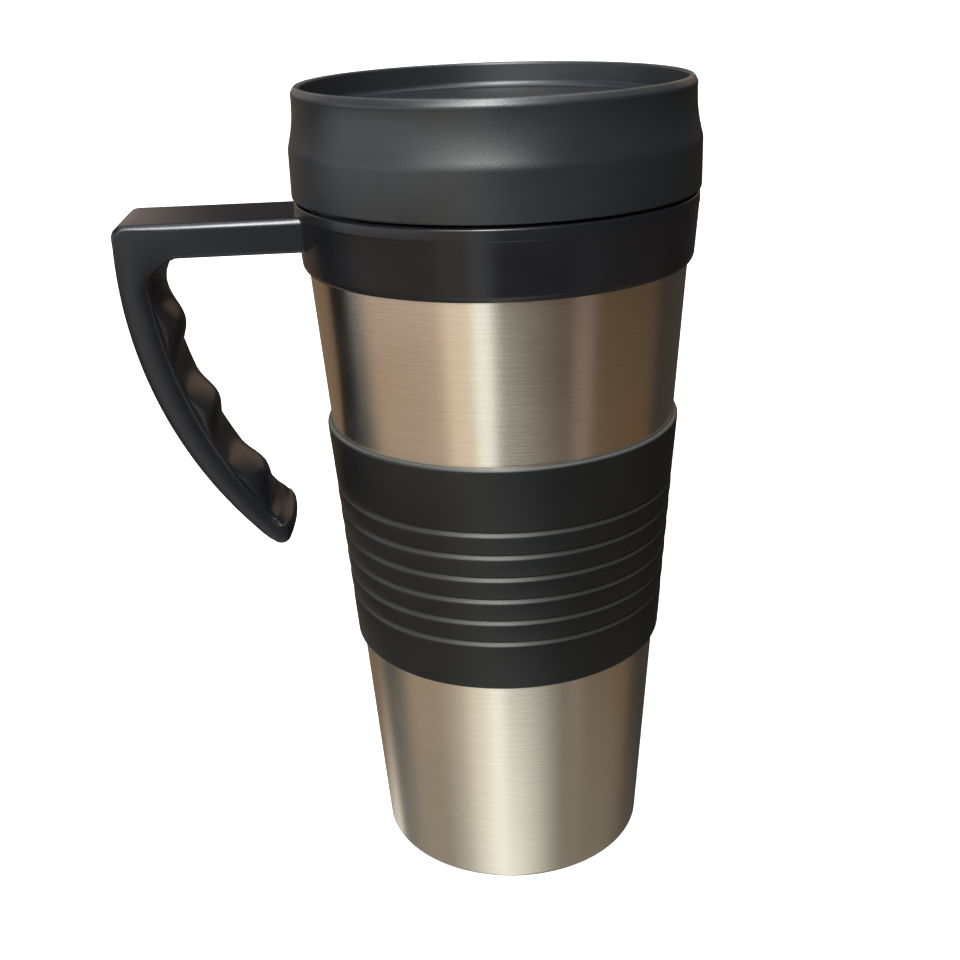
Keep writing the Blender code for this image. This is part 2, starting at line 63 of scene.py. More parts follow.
# Sizes of the CAD model, by its own names where it names them
MUG_HEIGHT = 190.0
SHELL_FOOT_RADIUS = 32.88
SHELL_SLOPE = 0.071
SHELL_TOP = 154.5
SHELL_WALL = 0.5
SHELL_FILLET = 1.6
ROLLED_EDGE_RADIUS = 31.6
COLLAR_BOTTOM = 150.1
COLLAR_TOP = 165.4
COLLAR_RADIUS = 45.9
SKIRT_BOTTOM = 166.1
SKIRT_RADIUS = 46.25
RIM_RADIUS = 44.9
BAND_BOTTOM = 57.3
BAND_TOP = 113.2
BAND_THICKNESS = 1.2
PLUG_HEIGHT = 8.0
PLUG_FLOOR = 2.4
PLUG_WALL = 2.0
PLUG_GROOVE = (22.0, 24.0, 0.6)
LINER_FLOOR = 6.0
LINER_WALL = 1.6
LINER_FOOT_RADIUS = 29.6
LINER_CORNER = 5.0
LINER_SHOULDER = (146.0, 39.4)
NECK_BOTTOM = 149.8
NECK_RADIUS = 42.5
NECK_BORE = 41.0
FLANGE_RADIUS = 44.3
FLANGE_BOTTOM = 163.2
FLANGE_TOP = 165.0
GROOVE_COUNT = 6
GROOVE_FIRST = 69.6
GROOVE_PITCH = 5.6
DECK_TOP = 184.0
DECK_THICKNESS = 2.2
DECK_RADIUS = 43.0
WAIST_HEIGHT = 185.6
SKIRT_CREASE = 177.4
FLARE_POWER = 1.8
SKIRT_BORE = 44.5
LID_PLUG_RADIUS = 39.3
LID_PLUG_WALL = 1.6
LID_PLUG_BOTTOM = 152.0
SEAL_FLANGE = (167.3, 168.9, 42.5)
THREAD_STARTS = 3
THREAD_LEAD = 12.0
THREAD_STAGGER = 3.0
THREAD_BURY = 0.5
FEMALE_CREST = 39.9
FEMALE_FOOT = 155.2
FEMALE_SPAN = 127.5
MALE_CREST = 40.6
MALE_FOOT = FEMALE_FOOT - THREAD_LEAD / THREAD_STARTS / 2
MALE_SPAN = 150.0
SIP_SLOT = (5.5, -36.6, -31.4)
STEM_SLOT = (2.3, -24.1, -8.9)
VENT_PLACE = (0.0, 4.0)
VENT_RADIUS = 1.2
SHUTTER = (9.0, -39.2, -16.0)
SHUTTER_BOTTOM = DECK_TOP + 0.6
SHUTTER_TOP = DECK_TOP + 2.1
PAD = (7.0, -37.8, -30.2)
POCKET_DEPTH = 0.8
THUMB_GRIP = (6.5, -27.0, -19.8)
THUMB_RIB_COUNT = 3
THUMB_TOP = 187.4
STEM = (2.0, -23.5, -19.5)
STEM_HEAD_OVERHANG = 0.9
CLIP_THICKNESS = 2.0
RAIL_GAP = 0.5
RAIL_WIDTH = 1.2
RAIL_HEIGHT = 1.4
RAIL_ENDS = (-36.0, -7.0)
HANDLE_WIDTH = 24.6
ARM_TOP = 163.1
ARM_THICKNESS = 7.7
ARM_ROUND = 0.9
ARM_START = 43.0
CORNER_START = 71.8
CORNER_FLATNESS = 1.3
HANDLE_REACH = 85.35
BACK_RADIUS = 96.5
BACK_CENTRE_HEIGHT = 155.0
OUTER_CORNER = 2.8
GRIP_START_ANGLE = 4.2
GRIP_END_ANGLE = 42.0
GRIP_ROUND = 1.9
SIDE_DEPTH = 4.9
SIDE_TAPER = 0.0018
SIDE_MIDDLE_ANGLE = 12.0
FINGER_PITCH = 13.3
FIRST_RIDGE = 10.7
FINGER_RIDGE = 5.8
FINGER_VALLEY = 2.0
CORNER_WEB = 1.8
RIDGE_POWER = 1.2
CROWN_POWER = 0.8
TIP_APPROACH = ((43.4, 0.0), (44.8, 0.15))  # angles along the back, and depths inside it
TIP_GUIDE_ANGLE = 44.0
TIP_GUIDE_DEPTHS = (3.5, 5.6)
TIP_CENTRE = (54.2, 88.5)
TIP_ROUND = 2.8
TIP_SIDE = (52.6, 90.5)
TIP_TOP = (52.8, 90.8)
TIP_DOME = 1.3
EDGE_FILLET = 1.5

# Finer shape than the CAD's
LIP_WIDTH = 2.1
LIP_FLAT = 1.2
LIP_EDGE = 188.5
LIP_CREASE = 187.6
RECESS_FILLET = 1.6
FLARE_STEPS = 12
GRIP_STEPS = 72
BACK_START_ANGLES = (-1.9, -0.7, 0.6, 1.9, 3.1)
THREAD_STEP = 2.5  # degrees, as is the next
THREAD_RUN_OUT = 15.0
# Each corner of one groove of the band: its height above the groove's middle, its depth below the
# band's surface and its rounding
GROOVE_CORNERS = ((-2.6, 0.0, 1.0), (-0.85, 0.12, 0.3), (0.15, 0.85, 0.15), (0.55, 0.12, 0.2))

# The camera, on a line through the mug's axis
CAMERA_DISTANCE = 306.04
CAMERA_HEIGHT = 215.99
CAMERA_TURN = 4.565  # degrees round the mug, towards the handle's side
CAMERA_YAW = 1.115
CAMERA_PITCH = 21.656
CAMERA_ROLL = 1.958
CAMERA_LENS = 49.93

# Material colours, linear
STEEL_COLOUR = (0.72, 0.68, 0.60)
COLLAR_COLOUR = (0.0060, 0.0066, 0.0082)
LID_COLOUR = (0.0085, 0.0105, 0.0125)
WEAR_AND_HIGHLIGHT_HEIGHT = 187.9  # of the lid's rim, which is painted paler above it: partly wear, partly a painted highlight
# Paler colour of the lid's rim where it faces up: partly wear, partly a painted highlight
WEAR_AND_HIGHLIGHT_COLOUR = (0.040, 0.042, 0.042)
RUBBER_COLOUR = (0.0042, 0.0052, 0.0056)
# Paler colour of the band on faces that look up: partly dust, partly a painted highlight on the
# grooves' ledges
DUST_AND_HIGHLIGHT_COLOUR = (0.060, 0.062, 0.058)
LINER_COLOUR = (0.03, 0.03, 0.032)
SILICONE_COLOUR = (0.55, 0.55, 0.53)
FLOOR_COLOUR = (0.93, 0.93, 0.93)

# The studio round the mug, as soft-edged panels: azimuth and half width, softness of the sides,
# elevation and half height, softness of the ends, all in degrees, then the colour.
# Azimuth 0 is the camera's side, and 90 is to its right.
STUDIO_BASE = (0.052, 0.044, 0.038)
STUDIO_PANELS = {
    "warm_wall": (-66, 31, 16, -12, 25, 10, (0.35, 0.225, 0.135)),
    "lit_wall": (-29, 10, 11, -12, 25, 10, (0.66, 0.52, 0.37)),
    "window": (-14.5, 6, 7, -12, 25, 10, (0.93, 0.97, 0.95)),
    "grey_wall": (19, 37, 5, -26, 11, 8, (0.07, 0.045, 0.035)),
    "curtain": (49, 7, 5, -26, 11, 8, (0.19, 0.14, 0.12)),
    "right_wall": (84, 27, 6, -28, 10, 8, (0.11, 0.058, 0.018)),
    "left_fill": (-74, 34, 22, 5, 16, 12, (0.95, 1.05, 1.12)),
    "pane": (-17, 27, 22, 22, 10, 6, (3.2, 3.2, 3.05)),
    "left_back": (-150, 20, 14, -20, 20, 10, (0.17, 0.11, 0.06)),
    "back_wall": (-146, 24, 6, 20, 16, 10, (0.60, 0.47, 0.42)),
    "back_glow": (152, 22, 14, 20, 14, 10, (0.50, 0.33, 0.20)),
    "table": (0, 181, 1, -64, 27, 8, (0.09, 0.085, 0.07)),
    "table_glow": (-11, 33, 56, -64, 27, 8, (1.10, 1.14, 1.09)),
    "table_left": (-88, 38, 20, -64, 27, 8, (0.17, 0.17, 0.15)),
    "table_right": (62, 45, 30, -64, 27, 8, (0.12, 0.115, 0.10)),
    "table_back": (-161, 24, 12, -64, 27, 8, (1.10, 1.12, 1.05)),
    "ceiling": (0, 181, 1, 90, 32, 24, (1.9, 2.0, 2.1)),
}

LAMP_DISTANCE = 1.2  # metres, as is the next
LAMP_AIM_HEIGHT = 0.12


def arc(centre, radius, start, end, steps):
    """Points of an arc in a plane, with angles in degrees from its first axis."""
    points = []
    for step in range(steps + 1):
        angle = math.radians(start + (end - start) * step / steps)
        points.append((centre[0] + radius * math.cos(angle), centre[1] + radius * math.sin(angle)))
    return points


def bend(start, corner, end, part):
    """A point of the smooth curve that leaves start towards a corner and arrives at end from it."""
    start, corner, end = Vector(start), Vector(corner), Vector(end)
    return tuple(start.lerp(corner, part).lerp(corner.lerp(end, part), part))


def rounded(corners):
    """Outline points of a closed polygon of (distance, height, rounding) corners.

    Rounding is how far from the corner its curve starts, and 0 keeps the corner sharp.
    """
    points = []
    for index, (distance, height, rounding) in enumerate(corners):
        corner = Vector((distance, height))
        if not rounding:
            points.append(tuple(corner))
            continue
        before = Vector(corners[index - 1][:2])
        after = Vector(corners[(index + 1) % len(corners)][:2])
        start = corner + (before - corner).normalized() * rounding
        end = corner + (after - corner).normalized() * rounding
        points += [bend(start, corner, end, step / ROUND_STEPS) for step in range(ROUND_STEPS + 1)]
    return points


def skin(builder, rings, closed=False):
    """Skins equal rings of points one after another, and caps the ends or joins them."""
    loops = [[builder.verts.new([value * MM for value in point]) for point in ring] for ring in rings]
    pairs = list(zip(loops, loops[1:]))
    if closed:
        pairs.append((loops[-1], loops[0]))
    else:
        builder.faces.new(loops[0])
        builder.faces.new(list(reversed(loops[-1])))
    count = len(loops[0])
    for lower, upper in pairs:
        for index in range(count):
            after = (index + 1) % count
            builder.faces.new((lower[index], lower[after], upper[after], upper[index]))


def mesh_object(name, builder):
    """A smooth object of the bmesh, whose edges stay sharp where its faces turn by over 30 degrees."""
    bmesh.ops.recalc_face_normals(builder, faces=builder.faces)
    mesh = bpy.data.meshes.new(name)
    builder.to_mesh(mesh)
    builder.free()
    obj = bpy.data.objects.new(name, mesh)
    bpy.context.scene.collection.objects.link(obj)
    smooth(obj)
    return obj


def smooth(obj):
    obj.data.shade_smooth()
    obj.data.set_sharp_from_angle(angle=math.radians(30))


def skinned(name, rings, closed=False):
    builder = bmesh.new()
    skin(builder, rings, closed)
    return mesh_object(name, builder)


def turned(name, outline, closed=True):
    """Spins (radius, height) points round Z; an open outline is capped with a disc at each end."""
    rings = []
    for radius, height in outline:
        rings.append([(x, y, height) for x, y in arc((0, 0), radius, 0, 360 - 360 / SIDES, SIDES - 1)])
    return skinned(name, rings, closed)


def boolean(obj, tool, operation):
    """Joins or cuts obj with a tool, keeps the result as its mesh and removes the tool."""
    modifier = obj.modifiers.new(operation.lower(), "BOOLEAN")
    modifier.operation = operation
    modifier.object = tool
    modifier.solver = "EXACT"
    graph = bpy.context.evaluated_depsgraph_get()
    mesh = bpy.data.meshes.new_from_object(obj.evaluated_get(graph))
    obj.modifiers.clear()
    obj.data = mesh
    bpy.data.objects.remove(tool)
    smooth(obj)


def slab(name, place, low, high, corner, edge=0.0):
    """A plate with rounded corners: half width along X, ends along Y, and edges rounded by edge."""
    half_width, start, end = place
    levels = [(low, 0.0), (high, 0.0)]
    if edge:
        below = [(low + edge - height, edge - inset) for inset, height in arc((0, 0), edge, 90, 0, 3)]
        above = [(high - edge + height, edge - inset) for inset, height in arc((0, 0), edge, 0, 90, 3)]
        levels = below + above
    rings = []
    for height, inset in levels:
        ring = []
        for turn, x_side, y_side in ((0, 1, 1), (90, -1, 1), (180, -1, -1), (270, 1, -1)):
            y_end = end if y_side == 1 else start
            centre = (x_side * (half_width - corner), y_end - y_side * corner)
            radius = max(corner - inset, 0.02)
            ring += [(x, y, height) for x, y in arc(centre, radius, turn, turn + 90, 6)]
        rings.append(ring)
    return skinned(name, rings)


def shell_radius(height):
    return SHELL_FOOT_RADIUS + SHELL_SLOPE * height


# The body of the mug


def make_shell():
    foot = (shell_radius(SHELL_FILLET) - SHELL_FILLET, SHELL_FILLET)
    outline = [(ROLLED_EDGE_RADIUS, 0.0)]
    outline += arc(foot, SHELL_FILLET, -90, 0, 10)
    outline += [(shell_radius(height), height) for height in (20.0, 60.0, 110.0, SHELL_TOP)]
    outline += [(shell_radius(SHELL_TOP) - SHELL_WALL, SHELL_TOP)]
    outline += arc(foot, SHELL_FILLET - SHELL_WALL, 0, -90, 8)
    outline += [(ROLLED_EDGE_RADIUS, SHELL_WALL)]
    return turned("steel_shell", outline)


def make_plug():
    low = ROLLED_EDGE_RADIUS - FIT
    wide = shell_radius(1.0) - SHELL_WALL - 2 * FIT
    groove_inner, groove_outer, groove_depth = PLUG_GROOVE
    corners = [
        (groove_inner, 0.0, 0.2),
        (groove_inner + groove_depth, groove_depth, 0.2),
        (groove_outer - groove_depth, groove_depth, 0.2),
        (groove_outer, 0.0, 0.2),
        (low, 0.0, 0.3),
        (low, 1.3, 0.2),
        (wide, 1.8, 0.2),
        (wide, PLUG_HEIGHT, 0.4),
        (wide - PLUG_WALL, PLUG_HEIGHT, 0.4),
        (wide - PLUG_WALL, PLUG_FLOOR, 1.0),
        (2.0, PLUG_FLOOR, 0.0),
        (2.0, 0.0, 0.0),
    ]
    outline = rounded(corners)
    return turned("foot_plug", outline[-1:] + outline[:-1], closed=False)


def make_liner():
    shoulder_height, shoulder_radius = LINER_SHOULDER
    corner = (LINER_FOOT_RADIUS - LINER_CORNER, LINER_FLOOR + LINER_CORNER)
    outline = arc(corner, LINER_CORNER, -90, 0, 12)
    wall = [
        (0.0, shoulder_height, 0.0),
        (shoulder_radius, shoulder_height, 1.5),
        (NECK_RADIUS, NECK_BOTTOM, 1.0),
        (NECK_RADIUS, FLANGE_BOTTOM, 0.3),
        (FLANGE_RADIUS, FLANGE_BOTTOM, 0.3),
        (FLANGE_RADIUS, FLANGE_TOP, 0.3),
        (NECK_BORE, FLANGE_TOP, 0.6),
        (NECK_BORE, NECK_BOTTOM + LINER_WALL, 1.0),
        (shoulder_radius - LINER_WALL, shoulder_height + LINER_WALL, 1.5),
    ]
    outline += rounded(wall)[1:]
    outline += arc(corner, LINER_CORNER - LINER_WALL, 0, -90, 12)
    liner = turned("cup_liner", outline, closed=False)
    boolean(liner, make_thread(NECK_BORE, FEMALE_CREST, (1.8, 1.0), FEMALE_FOOT, FEMALE_SPAN), "UNION")
    return liner


def make_band():
    """The rubber sleeve: a soft lip at each end, and grooves with a steep top and a sloping ledge."""

    def outer(height, depth=0.0):
        return shell_radius(height) + BAND_THICKNESS - depth

    corners = [
        (shell_radius(BAND_BOTTOM) + TOUCH, BAND_BOTTOM, 0.1),
        (outer(BAND_BOTTOM), BAND_BOTTOM, 0.7),
    ]
    for groove in range(GROOVE_COUNT):
        middle = GROOVE_FIRST + groove * GROOVE_PITCH
        for rise, depth, rounding in GROOVE_CORNERS:
            corners.append((outer(middle + rise, depth), middle + rise, rounding))
    corners += [
        (outer(BAND_TOP), BAND_TOP, 0.9),
        (shell_radius(BAND_TOP) + TOUCH, BAND_TOP, 0.1),
    ]
    return turned("rubber_band", rounded(corners))


def make_collar_ring():
    """The collar's turned part: a lip over the shell's edge, a faint crease and a rebate inside."""
    tip = shell_radius(COLLAR_BOTTOM) + 0.7
    rebate = FLANGE_BOTTOM - FIT
    crease = COLLAR_TOP - 2.5
    corners = [
        (shell_radius(COLLAR_BOTTOM) + TOUCH, COLLAR_BOTTOM, 0.1),
        (tip, COLLAR_BOTTOM, 0.3),
        (tip + 0.65, COLLAR_BOTTOM + 1.0, 0.5),
        (COLLAR_RADIUS - 0.75, COLLAR_BOTTOM + 4.0, 2.0),
        (COLLAR_RADIUS - 0.1, crease - 0.2, 0.1),
        (COLLAR_RADIUS, crease, 0.1),
        (COLLAR_RADIUS, COLLAR_TOP, 0.55),
        (FLANGE_RADIUS + FIT, COLLAR_TOP, 0.3),
        (FLANGE_RADIUS + FIT, rebate, 0.1),
        (NECK_RADIUS + FIT, rebate, 0.1),
        (NECK_RADIUS + FIT, SHELL_TOP + FIT, 0.1),
        (shell_radius(SHELL_TOP) + TOUCH, SHELL_TOP + FIT, 0.1),
    ]
    return turned("collar_and_handle", rounded(corners))


# The handle is skinned through stations along it, each a section with three points in the plane
# y = 0: one on its outer edge, one where its flat side ends, and one on its inner edge


def handle_stations():
    """(outer, side and inner point, how far the station is into the grip, doming) of each section."""
    arm_steps = 6
    arm_foot = ARM_TOP - ARM_THICKNESS
    side_foot = arm_foot + ARM_ROUND
    stations = []
    for step in range(arm_steps):
        distance = ARM_START + (CORNER_START - ARM_START) * step / arm_steps
        stations.append(((distance, ARM_TOP), (distance, side_foot), (distance, arm_foot), 0.0, 0.0))
    outer_centre = (HANDLE_REACH - OUTER_CORNER, ARM_TOP - OUTER_CORNER)
    run = outer_centre[0] - CORNER_START
    outers = [(CORNER_START + run * step / arm_steps, ARM_TOP) for step in range(arm_steps)]
    outers += arc(outer_centre, OUTER_CORNER, 90, 0, 12)
    outers += [back_point(angle, 0.0) for angle in BACK_START_ANGLES]
    _, side_end, inner_end = grip_points(GRIP_START_ANGLE)
    sides = flattened_corner((CORNER_START, side_foot), side_end, len(outers))
    inners = flattened_corner((CORNER_START, arm_foot), inner_end, len(outers))
    for step, (outer, side, inner) in enumerate(zip(outers, sides, inners)):
        stations.append((outer, side, inner, step / len(outers), 0.0))
    for step in range(GRIP_STEPS + 1):
        angle = GRIP_START_ANGLE + (GRIP_END_ANGLE - GRIP_START_ANGLE) * step / GRIP_STEPS
        stations.append((*grip_points(angle), 1.0, 0.0))
    return stations + tip_stations()


def flattened_corner(start, end, steps):
    """Points of the corner from the arm's underside down to the grip, between an arc and a chamfer."""
    points = []
    for step in range(steps):
        turn = 0.5 * math.pi * step / steps
        across = math.sin(turn) ** CORNER_FLATNESS
        down = 1 - math.cos(turn) ** CORNER_FLATNESS
        points.append((start[0] + (end[0] - start[0]) * across, start[1] + (end[1] - start[1]) * down))
    return points


def tip_stations():
    """The rounded tip, whose sections swing round until they close on its upper corner."""
    _, side, inner = grip_points(GRIP_END_ANGLE)
    side_guide, inner_guide = [back_point(TIP_GUIDE_ANGLE, depth) for depth in TIP_GUIDE_DEPTHS]
    outers = [back_point(angle, depth) for angle, depth in TIP_APPROACH]
    outers += arc(TIP_CENTRE, TIP_ROUND, -50, -225, 20)
    stations = []
    for step, outer in enumerate(outers, 1):
        part = step / len(outers)
        side_point = bend(side, side_guide, TIP_SIDE, part)
        inner_point = bend(inner, inner_guide, TIP_TOP, part)
        stations.append((outer, side_point, inner_point, 1.0, part))
    return stations


def back_point(angle, depth):
    """A point that lies depth inside the handle's long outer curve."""
    radius = BACK_RADIUS - depth
    turn = math.radians(angle)
    return (
        HANDLE_REACH - BACK_RADIUS + radius * math.cos(turn),
        BACK_CENTRE_HEIGHT - radius * math.sin(turn),
    )


def grip_points(angle):
    """The outer, side and inner point of the grip at an angle, with a ridge between two fingers."""
    side = SIDE_DEPTH - SIDE_TAPER * (angle - SIDE_MIDDLE_ANGLE) ** 2
    wave = 0.5 + 0.5 * math.cos(math.tau * (angle - FIRST_RIDGE) / FINGER_PITCH)
    web = CORNER_WEB * max(0.0, (FIRST_RIDGE - angle) / (FIRST_RIDGE - GRIP_START_ANGLE)) ** 2
    inner = side + FINGER_VALLEY + web + (FINGER_RIDGE - FINGER_VALLEY) * wave**RIDGE_POWER
    return back_point(angle, 0.0), back_point(angle, side), back_point(angle, inner)


def handle_section(outer, side, inner, grip, doming):
    """A ring across the handle: flat back and sides, and an inner face that is crowned on the grip."""
    outer = Vector(outer)
    side = Vector(side)
    rise = Vector(inner) - side
    half = HANDLE_WIDTH / 2
    across = [(outer, half * share) for share in (0.0, 0.3, 0.6)]
    fillet = min(EDGE_FILLET, 0.6 * (side - outer).length)
    inward = (side - outer).normalized()
    for width, depth in arc((0, 0), fillet, 90, 0, 5):
        across.append((outer + inward * (fillet - depth), half - fillet + width))
    edge = min(ARM_ROUND + (GRIP_ROUND - ARM_ROUND) * grip, rise.length)
    for width, depth in arc((0, 0), edge, 0, 90, 6):
        across.append((side + rise.normalized() * depth, half - edge + width))
    face_steps = 14
    for step in range(1, face_steps + 1):
        share = math.cos(0.5 * math.pi * step / face_steps)
        height = edge + (rise.length - edge) * (1 - share * share) ** CROWN_POWER
        across.append((side + rise.normalized() * height, (half - edge) * share))
    mirrored = [(point, -offset) for point, offset in reversed(across[1:-1])]
    ring = []
    for point, offset in across + mirrored:
        pulled = doming * TIP_DOME * (offset / half) ** 2
        ring.append((-(point.x + pulled), offset, point.y))
    return ring


def make_collar():
    """The collar and the handle, which are one moulding."""
    collar = make_collar_ring()
    handle = skinned("handle_arm", [handle_section(*station) for station in handle_stations()])
    boolean(collar, handle, "UNION")
    return collar


def make_thread(wall, crest, widths, foot, span):
    """Ridges of the right-hand multi-start thread, from inside their wall to their crest."""
    base_width, crest_width = widths
    root = wall - math.copysign(THREAD_BURY, crest - wall)
    steps = round(span / THREAD_STEP)
    builder = bmesh.new()
    for start in range(THREAD_STARTS):
        rings = []
        for step in range(steps + 1):
            end_distance = min(step, steps - step) * THREAD_STEP
            taper = min(1.0, 0.3 + 0.7 * end_distance / THREAD_RUN_OUT)
            tip = wall + (crest - wall) * taper
            height = foot + THREAD_LEAD * step * THREAD_STEP / 360
            angle = math.radians(THREAD_STAGGER + start * 360 / THREAD_STARTS + step * THREAD_STEP)
            section = (
                (root, height - base_width / 2),
                (tip, height - crest_width / 2),
                (tip, height + crest_width / 2),
                (root, height + base_width / 2),
            )
            rings.append([(r * math.cos(angle), r * math.sin(angle), z) for r, z in section])
        skin(builder, rings)
    return mesh_object("thread", builder)


# The lid


def flare_radius(height):
    """The rim's outer radius between waist and crease, which curves outwards on its way down."""
    waist = RIM_RADIUS - 0.1
    part = (WAIST_HEIGHT - height) / (WAIST_HEIGHT - SKIRT_CREASE)
    return waist + (SKIRT_RADIUS - 0.15 - waist) * part**FLARE_POWER


def make_rim():
    """The ring round the lid: a sloping lip, a concave waist, a crease and a straight skirt."""
    ledge = DECK_TOP + TOUCH
    deck_bottom = DECK_TOP - DECK_THICKNESS
    inner = RIM_RADIUS - LIP_WIDTH
    outline = arc((inner - RECESS_FILLET, ledge + RECESS_FILLET), RECESS_FILLET, -90, 0, 10)
    lip = [
        (inner, ledge + RECESS_FILLET, 0.0),
        (inner, MUG_HEIGHT, 0.7),
        (inner + LIP_FLAT, MUG_HEIGHT, 0.45),
        (RIM_RADIUS, LIP_EDGE, 0.6),
        (RIM_RADIUS - 0.15, LIP_CREASE, 0.0),
    ]
    outline += rounded(lip)[1:]
    for step in range(FLARE_STEPS + 1):
        height = WAIST_HEIGHT + (SKIRT_CREASE - WAIST_HEIGHT) * step / FLARE_STEPS
        outline.append((flare_radius(height), height))
    skirt = [
        (SKIRT_RADIUS - 0.15, SKIRT_CREASE, 0.0),
        (SKIRT_RADIUS - 0.02, SKIRT_CREASE - 0.8, 0.4),
        (SKIRT_RADIUS, SKIRT_BOTTOM, 0.6),
        (SKIRT_BORE, SKIRT_BOTTOM, 0.3),
        (SKIRT_BORE, deck_bottom - 3.8, 0.5),
        (DECK_RADIUS + TOUCH, deck_bottom, 0.2),
        (DECK_RADIUS + TOUCH, ledge, 0.1),
    ]
    outline += rounded(skirt)[1:]
    return turned("lid_ring", outline)


def make_deck():
    """The plate inside the rim, with its three holes and the shutter's rails."""
    low = DECK_TOP - DECK_THICKNESS
    outline = [(DECK_RADIUS, low), (DECK_RADIUS, DECK_TOP)]
    deck = turned("lid_deck_plate", outline, closed=False)
    for side in (-1, 1):
        middle = side * (SHUTTER[0] + RAIL_GAP + RAIL_WIDTH / 2)
        place = (RAIL_WIDTH / 2, *RAIL_ENDS)
        rail = slab("rail", place, DECK_TOP - 0.5, DECK_TOP + RAIL_HEIGHT, 0.55, 0.3)
        rail.data.transform(Matrix.Translation((middle * MM, 0.0, 0.0)))
        boolean(deck, rail, "UNION")
    vent_middle = VENT_PLACE[1]
    vent = (VENT_RADIUS, vent_middle - VENT_RADIUS, vent_middle + VENT_RADIUS)
    for place, corner in ((SIP_SLOT, 2.5), (STEM_SLOT, 0.8), (vent, VENT_RADIUS - 0.01)):
        boolean(deck, slab("hole_cutter", place, low - 1.0, DECK_TOP + 1.0, corner), "DIFFERENCE")
    return deck


def make_lid_plug():
    """The threaded tube below the deck, with the flange that presses on the seal."""
    bore = LID_PLUG_RADIUS - LID_PLUG_WALL
    top = DECK_TOP - DECK_THICKNESS - TOUCH
    flange_bottom, flange_top, flange_radius = SEAL_FLANGE
    corners = [
        (bore, top, 0.0),
        (LID_PLUG_RADIUS, top, 0.0),
        (LID_PLUG_RADIUS, flange_top, 0.3),
        (flange_radius, flange_top, 0.3),
        (flange_radius, flange_bottom, 0.3),
        (LID_PLUG_RADIUS, flange_bottom, 0.2),
        (LID_PLUG_RADIUS, LID_PLUG_BOTTOM, 0.6),
        (bore, LID_PLUG_BOTTOM, 0.4),
    ]
    plug = turned("threaded_plug", rounded(corners))
    ridges = make_thread(LID_PLUG_RADIUS, MALE_CREST, (2.0, 1.2), MALE_FOOT, MALE_SPAN)
    boolean(plug, ridges, "UNION")
    return plug


def make_seal():
    flange_bottom, _, flange_radius = SEAL_FLANGE
    low = FLANGE_TOP + FIT
    high = flange_bottom - FIT
    inner = LID_PLUG_RADIUS + FIT
    corners = [
        (inner, low, 0.5),
        (flange_radius, low, 0.7),
        (flange_radius, high, 0.7),
        (inner, high, 0.3),
    ]
    return turned("silicone_ring", rounded(corners))


def make_shutter():
    """The sliding thumb piece: a plate with grip ribs, a pocket for its pad and a stem below."""
    shutter = slab("shutter_slide", SHUTTER, SHUTTER_BOTTOM, SHUTTER_TOP, 2.5, 0.4)
    pocket = (PAD[0] + FIT, PAD[1] - FIT, PAD[2] + FIT)
    cutter = slab("pocket_cutter", pocket, SHUTTER_BOTTOM - 1.0, SHUTTER_BOTTOM + POCKET_DEPTH, 1.5)
    boolean(shutter, cutter, "DIFFERENCE")
    width, start, end = THUMB_GRIP
    pitch = (end - start) / THUMB_RIB_COUNT
    for rib in range(THUMB_RIB_COUNT):
        place = (width, start + rib * pitch, start + rib * pitch + 0.6 * pitch)
        boolean(shutter, slab("rib", place, SHUTTER_TOP - 0.4, THUMB_TOP, 0.7, 0.35), "UNION")
    clip_bottom = DECK_TOP - DECK_THICKNESS - FIT - CLIP_THICKNESS
    boolean(shutter, slab("stem", STEM, clip_bottom - 1.2, SHUTTER_BOTTOM + 0.5, 0.5), "UNION")
    head = (STEM[0] + STEM_HEAD_OVERHANG, STEM[1], STEM[2])
    boolean(shutter, slab("head", head, clip_bottom - 1.4, clip_bottom - FIT, 0.4, 0.3), "UNION")
    return shutter


# Materials


